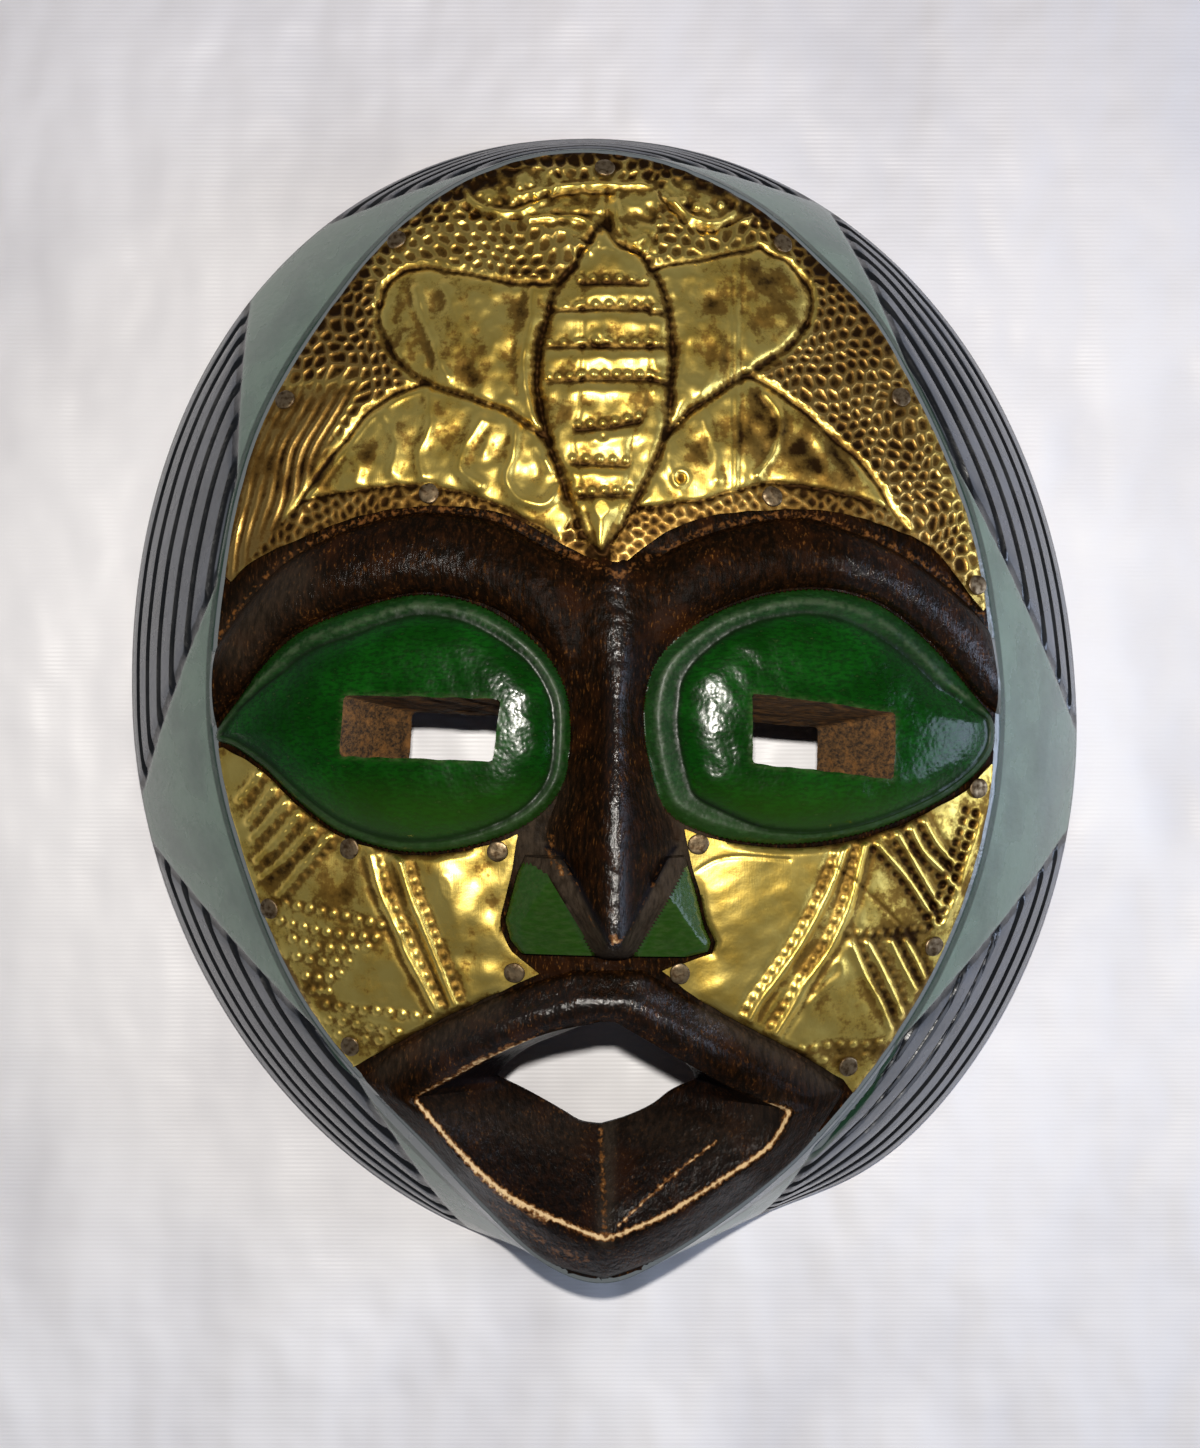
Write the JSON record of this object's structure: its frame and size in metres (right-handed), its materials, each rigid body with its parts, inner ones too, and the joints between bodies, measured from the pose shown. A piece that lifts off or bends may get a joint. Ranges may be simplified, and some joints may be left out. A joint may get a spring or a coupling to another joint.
{
  "type": "carved wooden wall mask with embossed brass sheets",
  "caption": "Carved, hollow-backed wooden wall mask of an oval face, with embossed brass sheets tacked over the forehead and cheeks.",
  "frame": {"origin": "middle of the flat back rim, on the surface that the mask lies on", "axes": "+Z out of the face, +Y towards the forehead, +X towards the right of the mask as it is looked at"},
  "size_m": [0.231, 0.2742, 0.0737],
  "materials": {
    "carved_wood": "dark stained and varnished, with green paint on the eyes, nostrils and side band",
    "embossed_brass": "thin hammered and chased sheet, tarnished brown in the hollows",
    "iron_tacks": "small domed heads, dull and lightly rusted"
  },
  "bodies": {
    "root": {"mask_body": "carved_wood", "forehead_brass_sheet": "embossed_brass", "left_cheek_brass_sheet": "embossed_brass", "right_cheek_brass_sheet": "embossed_brass", "forehead_tack_1": "iron_tacks", "forehead_tack_2": "iron_tacks", "forehead_tack_3": "iron_tacks", "forehead_tack_4": "iron_tacks", "forehead_tack_5": "iron_tacks", "forehead_tack_6": "iron_tacks", "forehead_tack_7": "iron_tacks", "forehead_tack_8": "iron_tacks", "left_cheek_tack_1": "iron_tacks", "left_cheek_tack_2": "iron_tacks", "left_cheek_tack_3": "iron_tacks", "left_cheek_tack_4": "iron_tacks", "left_cheek_tack_5": "iron_tacks", "right_cheek_tack_1": "iron_tacks", "right_cheek_tack_2": "iron_tacks", "right_cheek_tack_3": "iron_tacks", "right_cheek_tack_4": "iron_tacks", "right_cheek_tack_5": "iron_tacks"}
  },
  "joints": []
}
